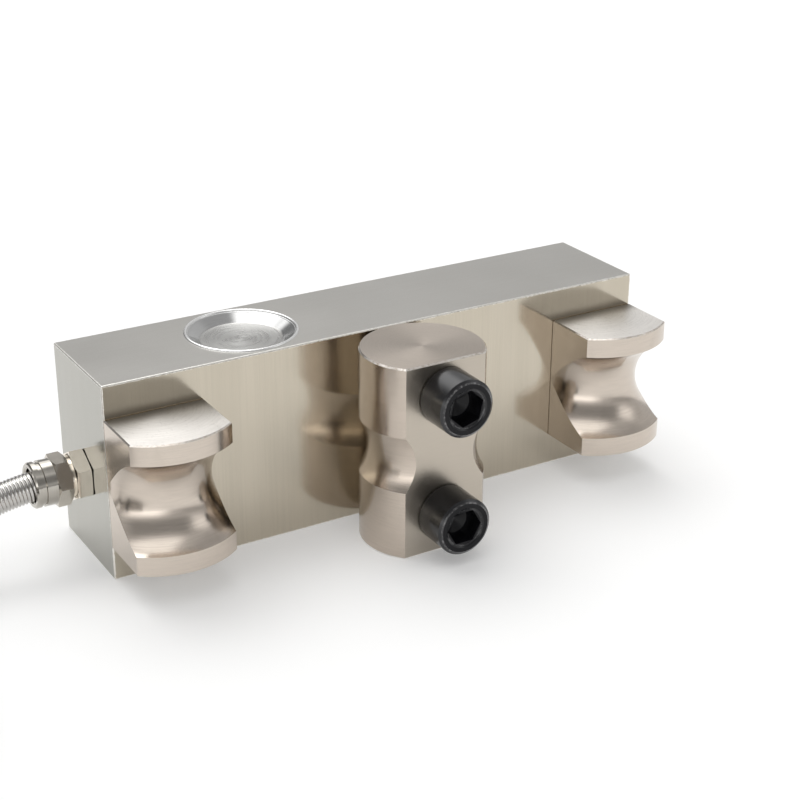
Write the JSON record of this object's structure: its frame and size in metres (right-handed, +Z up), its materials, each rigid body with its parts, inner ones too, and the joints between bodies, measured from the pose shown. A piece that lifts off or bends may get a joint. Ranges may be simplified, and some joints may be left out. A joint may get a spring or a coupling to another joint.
{
  "type": "wire rope tension load cell",
  "caption": "Nickel-plated steel bar that clamps onto a wire rope: grooved end saddles, a screwed middle clamp block, a gauge pocket under a round cup and a lead in metal conduit.",
  "frame": {"origin": "centre of the bar's bottom face, on the surface that the part stands on", "axes": "+X along the bar, away from the end where the lead leaves; -Y to the front, where the saddles and the clamp block are; +Z up"},
  "size_m": [0.3714, 0.1261, 0.0624],
  "materials": {
    "nickel_steel": "fine ground, bright nickel",
    "cup_metal": "turned, satin",
    "black_steel": "black oxide, oiled",
    "gland_nickel": "polished nickel plate",
    "conduit_steel": "bright corrugated strip",
    "seal_rubber": "matt",
    "silicone": "translucent, soft",
    "gauge_foil": "amber film",
    "board": "lacquered",
    "resistor": "glossy",
    "cable_sheath": "satin",
    "core_insulation": "satin",
    "tie_strap": "woven hook and loop"
  },
  "bodies": {
    "root": {"spring_body": "nickel_steel", "saddle_left": "nickel_steel", "saddle_right": "nickel_steel", "clamp_block": "nickel_steel", "clamp_screws": "black_steel", "saddle_screws": "black_steel", "seal_cup_top": "cup_metal", "seal_cup_bottom": "cup_metal", "gauges_upper": "gauge_foil", "gauges_lower": "gauge_foil", "gauge_seal_upper": "silicone", "gauge_seal_lower": "silicone", "bridge_board": "board", "trim_resistors": "resistor", "inner_cores": "core_insulation", "inner_cable": "cable_sheath", "gland_washer": "seal_rubber", "gland_body": "gland_nickel", "gland_nut": "gland_nickel", "gland_ring": "gland_nickel", "gland_seal": "seal_rubber", "conduit": "conduit_steel", "conduit_coil": "conduit_steel", "conduit_end_bush": "gland_nickel", "cable_tail": "cable_sheath", "tail_cores": "core_insulation", "coil_tie_high": "tie_strap", "coil_tie_low": "tie_strap"}
  },
  "joints": []
}
